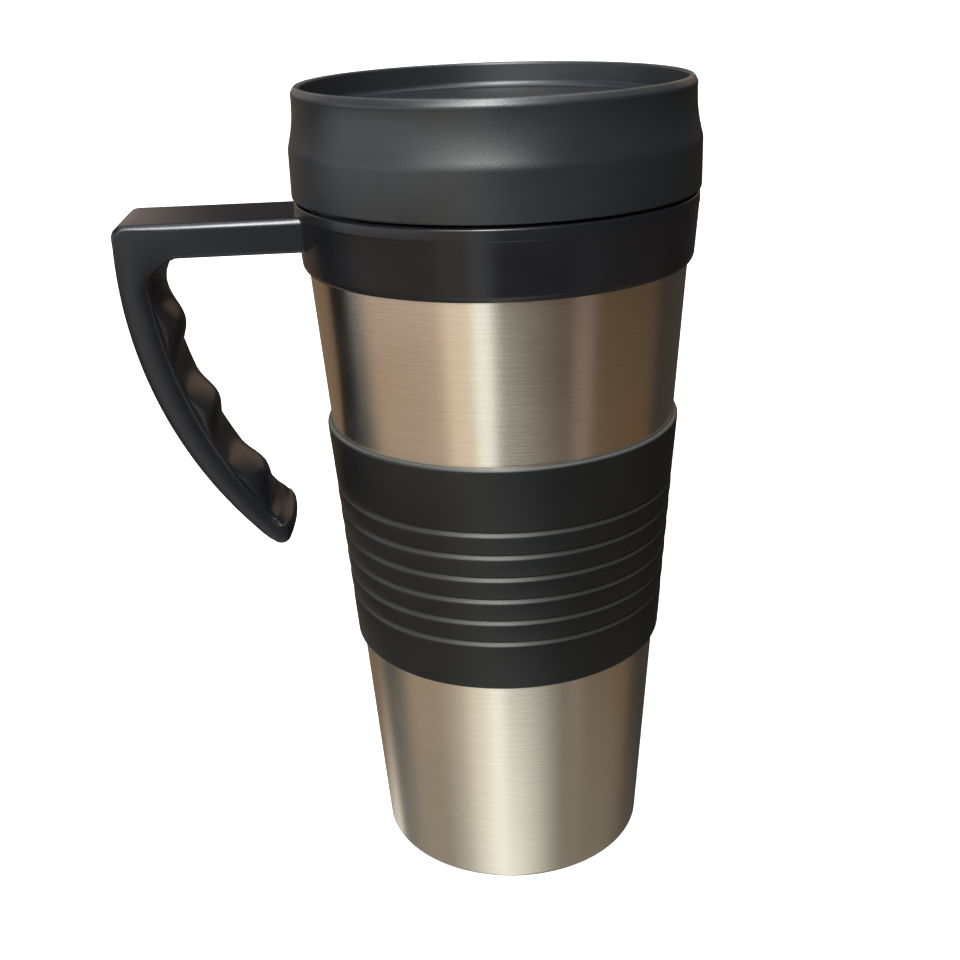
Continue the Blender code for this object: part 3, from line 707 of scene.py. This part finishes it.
class Nodes:
    """A material's node tree, with short calls for the few node kinds used here."""

    def __init__(self, name):
        self.material = bpy.data.materials.new(name)
        self.material.use_nodes = True
        self.tree = self.material.node_tree
        self.shader = self.tree.nodes["Principled BSDF"]

    def add(self, kind, **settings):
        node = self.tree.nodes.new(kind)
        for name, value in settings.items():
            setattr(node, name, value)
        return node

    def link(self, output, node, socket):
        self.tree.links.new(output, node.inputs[socket])

    def noise(self, scale, stretch=(1.0, 1.0, 1.0), detail=3.0, roughness=0.5):
        """Noise in object space, with scale in cells for each metre along each axis."""
        place = self.add("ShaderNodeTexCoord")
        mapping = self.add("ShaderNodeMapping")
        mapping.inputs["Scale"].default_value = [scale * along for along in stretch]
        self.link(place.outputs["Object"], mapping, "Vector")
        noise = self.add("ShaderNodeTexNoise")
        noise.inputs["Scale"].default_value = 1.0
        noise.inputs["Detail"].default_value = detail
        noise.inputs["Roughness"].default_value = roughness
        self.link(mapping.outputs["Vector"], noise, "Vector")
        return noise.outputs["Fac"]

    def ranged(self, value, low, high, start=0.3, end=0.7):
        """Maps value from start..end onto low..high."""
        ranging = self.add("ShaderNodeMapRange")
        ranging.inputs["From Min"].default_value = start
        ranging.inputs["From Max"].default_value = end
        ranging.inputs["To Min"].default_value = low
        ranging.inputs["To Max"].default_value = high
        self.link(value, ranging, "Value")
        return ranging.outputs["Result"]

    def product(self, first, second):
        return computed(self.tree, "ShaderNodeMath", "MULTIPLY", first, second)

    def varied(self, factor, colour, darkest, palest):
        """The colour made darker or paler, from one factor to the other."""
        return self.mixed(self.ranged(factor, 0.0, 1.0), shade(colour, darkest), shade(colour, palest))

    def mixed(self, factor, first, second):
        """Mixes two colours, each of them a value or another node's output."""
        mixing = self.add("ShaderNodeMix", data_type="RGBA")
        self.link(factor, mixing, "Factor")
        for socket, colour in ((mixing.inputs[6], first), (mixing.inputs[7], second)):
            if isinstance(colour, tuple):
                socket.default_value = (*colour, 1.0)
            else:
                self.tree.links.new(colour, socket)
        return mixing.outputs[2]

    def bumped(self, height, distance, strength=1.0, normal=None):
        """Raises the surface by height times distance, in millimetres."""
        bump = self.add("ShaderNodeBump")
        bump.inputs["Strength"].default_value = strength
        bump.inputs["Distance"].default_value = distance * MM
        self.link(height, bump, "Height")
        if normal is not None:
            self.link(normal, bump, "Normal")
        return bump.outputs["Normal"]

    def set(self, **values):
        for name, value in values.items():
            self.shader.inputs[name.replace("_", " ")].default_value = value


def shade(colour, factor):
    return tuple(channel * factor for channel in colour)


def computed(tree, kind, operation, *inputs):
    """The output of a math node whose inputs are values or other nodes' outputs."""
    node = tree.nodes.new(kind)
    node.operation = operation
    for socket, value in zip(node.inputs, inputs):
        if isinstance(value, bpy.types.NodeSocket):
            tree.links.new(value, socket)
        else:
            socket.default_value = value
    return node.outputs[0]


def brushed_steel():
    """Steel brushed round the mug: long fine scratches, short glints and a faint smear."""
    nodes = Nodes("brushed_steel")
    scratches = nodes.noise(1.0, (60.0, 60.0, 4200.0), 4.0, 0.65)
    glints = nodes.noise(1.0, (320.0, 320.0, 2400.0), 3.0, 0.6)
    smear = nodes.noise(28.0, (1.0, 1.0, 1.6), 3.0)
    nodes.link(nodes.varied(scratches, STEEL_COLOUR, 0.94, 1.04), nodes.shader, "Base Color")
    nodes.link(nodes.ranged(smear, 0.23, 0.27), nodes.shader, "Roughness")
    coarse = nodes.bumped(glints, 0.02)
    nodes.link(nodes.bumped(scratches, 0.004, normal=coarse), nodes.shader, "Normal")
    tangent = nodes.add("ShaderNodeTangent", direction_type="RADIAL", axis="Z")
    nodes.link(tangent.outputs["Tangent"], nodes.shader, "Tangent")
    nodes.set(Metallic=1.0, Anisotropic=0.7, Anisotropic_Rotation=0.25)
    return nodes.material


def moulded_plastic(name, colour, roughness, grain, specular=0.5, wear_and_highlight_above=None):
    """Black moulded plastic: a fine grain, slow changes of gloss, and above a height a rim painted
    paler, partly as wear and partly as a painted highlight.
    """
    nodes = Nodes(name)
    fine = nodes.noise(2600.0, detail=2.0)
    slow = nodes.noise(35.0, (1.0, 1.0, 2.2), 4.0)
    flow = nodes.noise(1.0, (9.0, 9.0, 700.0), 3.0)
    varied = nodes.varied(slow, colour, 0.88, 1.12)
    speckled = nodes.mixed(nodes.ranged(fine, 0.0, 0.35), varied, shade(colour, 1.9))
    if wear_and_highlight_above:
        # Above a height the rim is painted paler where it faces up: partly wear, partly a painted
        # highlight
        speckled = nodes.mixed(wear_and_highlight_mask(nodes, wear_and_highlight_above), speckled, WEAR_AND_HIGHLIGHT_COLOUR)
    nodes.link(speckled, nodes.shader, "Base Color")
    nodes.link(nodes.ranged(slow, roughness - 0.04, roughness + 0.04), nodes.shader, "Roughness")
    rippled = nodes.bumped(flow, 0.008)
    nodes.link(nodes.bumped(fine, grain, normal=rippled), nodes.shader, "Normal")
    nodes.set(Specular_IOR_Level=specular)
    return nodes.material


def wear_and_highlight_mask(nodes, height):
    """How much paler the plastic is painted, partly as wear and partly as a painted highlight: most
    where it faces up, above a height.
    """
    place = nodes.add("ShaderNodeTexCoord")
    position = nodes.add("ShaderNodeSeparateXYZ")
    nodes.link(place.outputs["Object"], position, "Vector")
    direction = nodes.add("ShaderNodeSeparateXYZ")
    nodes.link(place.outputs["Normal"], direction, "Vector")
    high = nodes.ranged(position.outputs["Z"], 0.0, 1.0, height * MM, (height + 0.6) * MM)
    upward = nodes.ranged(direction.outputs["Z"], 0.0, 1.0, 0.2, 0.8)
    patchy = nodes.ranged(nodes.noise(180.0, (1.0, 1.0, 3.0), 4.0), 0.25, 0.75)
    return nodes.product(nodes.product(high, upward), patchy)


def grip_rubber():
    """Matt rubber with a fine grain, painted paler on faces that look up, partly as dust and partly as
    a painted highlight.
    """
    nodes = Nodes("grip_rubber")
    grain = nodes.noise(3200.0, detail=3.0, roughness=0.6)
    patches = nodes.noise(45.0, detail=4.0)
    varied = nodes.varied(patches, RUBBER_COLOUR, 0.85, 1.15)
    geometry = nodes.add("ShaderNodeNewGeometry")
    normal = nodes.add("ShaderNodeSeparateXYZ")
    nodes.link(geometry.outputs["Normal"], normal, "Vector")
    upward = nodes.ranged(normal.outputs["Z"], 0.0, 0.75, 0.25, 0.95)
    # Faces that look up are painted paler: partly dust, partly a painted highlight on the grooves'
    # ledges
    dust_and_highlight = nodes.mixed(upward, varied, DUST_AND_HIGHLIGHT_COLOUR)
    nodes.link(dust_and_highlight, nodes.shader, "Base Color")
    nodes.link(nodes.ranged(patches, 0.37, 0.45), nodes.shader, "Roughness")
    nodes.link(nodes.bumped(grain, 0.02), nodes.shader, "Normal")
    nodes.set(Specular_IOR_Level=0.36)
    return nodes.material


def seal_silicone():
    nodes = Nodes("seal_silicone")
    cloud = nodes.noise(90.0, detail=3.0)
    grain = nodes.noise(1800.0, detail=2.0)
    nodes.link(nodes.varied(cloud, SILICONE_COLOUR, 0.9, 1.05), nodes.shader, "Base Color")
    nodes.link(nodes.ranged(cloud, 0.45, 0.58), nodes.shader, "Roughness")
    nodes.link(nodes.bumped(grain, 0.01), nodes.shader, "Normal")
    nodes.set(Subsurface_Weight=0.15, Subsurface_Scale=0.002)
    return nodes.material


# The studio


def soft_mask(tree, angle, middle, half, softness):
    """1 where an angle is within half of the middle, and 0 beyond, with a soft step between."""
    offset = computed(tree, "ShaderNodeMath", "SUBTRACT", angle, middle)
    distance = computed(tree, "ShaderNodeMath", "ABSOLUTE", offset)
    mask = tree.nodes.new("ShaderNodeMapRange")
    mask.interpolation_type = "SMOOTHSTEP"
    mask.inputs["From Min"].default_value = half - softness / 2
    mask.inputs["From Max"].default_value = half + softness / 2
    mask.inputs["To Min"].default_value = 1.0
    mask.inputs["To Max"].default_value = 0.0
    tree.links.new(distance, mask.inputs["Value"])
    return mask.outputs["Result"]


def add_panel(tree, azimuth, elevation, light, panel):
    """The light from a direction, with one soft-edged panel added to it."""
    turn, half_width, side_softness, height, half_height, end_softness, colour = panel
    across = soft_mask(tree, azimuth, turn, half_width, side_softness)
    upwards = soft_mask(tree, elevation, height, half_height, end_softness)
    both = computed(tree, "ShaderNodeMath", "MULTIPLY", across, upwards)
    return computed(tree, "ShaderNodeVectorMath", "MULTIPLY_ADD", both, colour, light)


def direction_angles(tree):
    """Azimuth from -Y towards +X, and elevation, of a world direction, in degrees."""
    place = tree.nodes.new("ShaderNodeTexCoord")
    axes = tree.nodes.new("ShaderNodeSeparateXYZ")
    tree.links.new(place.outputs["Generated"], axes.inputs["Vector"])
    towards = computed(tree, "ShaderNodeMath", "MULTIPLY", axes.outputs["Y"], -1.0)
    around = computed(tree, "ShaderNodeMath", "ARCTAN2", axes.outputs["X"], towards)
    upwards = computed(tree, "ShaderNodeMath", "ARCSINE", axes.outputs["Z"])
    return [computed(tree, "ShaderNodeMath", "DEGREES", radians) for radians in (around, upwards)]


def make_world():
    """White behind the mug, and the soft panels of a plain studio round it."""
    world = bpy.data.worlds.new("studio")
    bpy.context.scene.world = world
    world.use_nodes = True
    tree = world.node_tree
    azimuth, elevation = direction_angles(tree)
    light = STUDIO_BASE
    for panel in STUDIO_PANELS.values():
        light = add_panel(tree, azimuth, elevation, light, panel)
    path = tree.nodes.new("ShaderNodeLightPath")
    seen = tree.nodes.new("ShaderNodeMix")
    seen.data_type = "RGBA"
    seen.inputs[7].default_value = (1.0, 1.0, 1.0, 1.0)
    tree.links.new(path.outputs["Is Camera Ray"], seen.inputs["Factor"])
    tree.links.new(light, seen.inputs[6])
    tree.links.new(seen.outputs[2], tree.nodes["Background"].inputs["Color"])


def make_floor():
    """A plain pale floor that shows a faint shadow and adds no light of its own to the mug."""
    builder = bmesh.new()
    bmesh.ops.create_circle(builder, cap_ends=True, radius=12.0, segments=64)
    floor = mesh_object("floor", builder)
    floor.location.z = -0.0002
    nodes = Nodes("floor")
    mottle = nodes.noise(3.0, detail=2.0)
    pale = nodes.varied(mottle, FLOOR_COLOUR, 0.995, 1.0)
    nodes.link(pale, nodes.shader, "Base Color")
    nodes.link(pale, nodes.shader, "Emission Color")
    nodes.set(Roughness=0.9, Emission_Strength=0.85, Specular_IOR_Level=0.0)
    floor.data.materials.append(nodes.material)
    floor.visible_glossy = False
    floor.visible_diffuse = False


def add_lamp(name, azimuth, elevation, size, power, colour):
    """A soft rectangular lamp that looks at the mug's middle."""
    light = bpy.data.lights.new(name, "AREA")
    light.shape = "RECTANGLE"
    light.size, light.size_y = size
    light.energy = power
    light.color = colour
    lamp = bpy.data.objects.new(name, light)
    bpy.context.scene.collection.objects.link(lamp)
    turn = math.radians(azimuth)
    rise = math.radians(elevation)
    back = Vector((math.sin(turn) * math.cos(rise), -math.cos(turn) * math.cos(rise), math.sin(rise)))
    lamp.location = Vector((0.0, 0.0, LAMP_AIM_HEIGHT)) + back * LAMP_DISTANCE
    lamp.rotation_euler = back.to_track_quat("Z", "Y").to_euler()


def make_lamps():
    """A wide key lamp, and a narrow strip that draws the bright lines along the upper edges."""
    add_lamp("key", -15, 42, (0.8, 0.35), 11.5, (1.0, 0.99, 0.97))
    add_lamp("strip", -12, 54, (0.16, 1.1), 18.0, (1.0, 1.0, 1.0))


def make_camera():
    data = bpy.data.cameras.new("camera")
    data.lens = CAMERA_LENS
    data.sensor_width = 36.0
    data.clip_start = 0.01
    camera = bpy.data.objects.new("camera", data)
    bpy.context.scene.collection.objects.link(camera)
    turn = math.radians(CAMERA_TURN)
    place = (-CAMERA_DISTANCE * math.sin(turn), -CAMERA_DISTANCE * math.cos(turn), CAMERA_HEIGHT)
    aim = Matrix.Rotation(math.radians(CAMERA_YAW - CAMERA_TURN), 4, "Z")
    aim @= Matrix.Rotation(math.radians(-CAMERA_PITCH), 4, "X")
    aim @= Matrix.Rotation(math.radians(CAMERA_ROLL), 4, "Y")
    aim @= Matrix.Rotation(math.radians(90.0), 4, "X")
    camera.matrix_world = Matrix.Translation([value * MM for value in place]) @ aim
    bpy.context.scene.camera = camera


def place_piece(piece, look, slot, body, *nodes):
    """Gives a piece its material and puts it on its body in place of CAD nodes; its slot is not used.
    """
    piece.data.materials.clear()
    piece.data.materials.append(look)
    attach(piece, body)
    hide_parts(*nodes)


def corners(box):
    return [list(corner) for corner in box]


def main():
    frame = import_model()
    bpy.context.scene.view_settings.view_transform = "Standard"
    steel = brushed_steel()
    collar_black = moulded_plastic("black_plastic", COLLAR_COLOUR, 0.23, 0.004, 0.36)
    lid_black = moulded_plastic("lid_plastic", LID_COLOUR, 0.36, 0.018, wear_and_highlight_above=WEAR_AND_HIGHLIGHT_HEIGHT)
    liner_black = moulded_plastic("liner_plastic", LINER_COLOUR, 0.4, 0.01)
    rubber = grip_rubber()
    silicone = seal_silicone()
    place_piece(make_shell(), steel, "brushed_steel", "mug", "outer_shell")
    place_piece(make_plug(), collar_black, "black_plastic", "mug", "base_plug")
    place_piece(make_liner(), liner_black, "liner_plastic", "mug", "inner_liner")
    place_piece(make_band(), rubber, "grip_rubber", "mug", "grip_band")
    place_piece(make_collar(), collar_black, "black_plastic", "mug", "collar_handle")
    place_piece(make_rim(), lid_black, "lid_plastic", "lid", "lid_rim")
    place_piece(make_deck(), lid_black, "lid_plastic", "lid", "lid_deck")
    place_piece(make_lid_plug(), lid_black, "lid_plastic", "lid", "lid_plug")
    place_piece(make_seal(), silicone, "seal_silicone", "seal", "seal_ring")
    place_piece(make_shutter(), lid_black, "lid_plastic", "shutter", "thumb_shutter")
    for name, look in (("shutter_pad", silicone), ("shutter_clip", lid_black)):
        frame["nodes"][name].data.materials.clear()
        frame["nodes"][name].data.materials.append(look)
    make_world()
    make_floor()
    make_lamps()
    make_camera()


main()
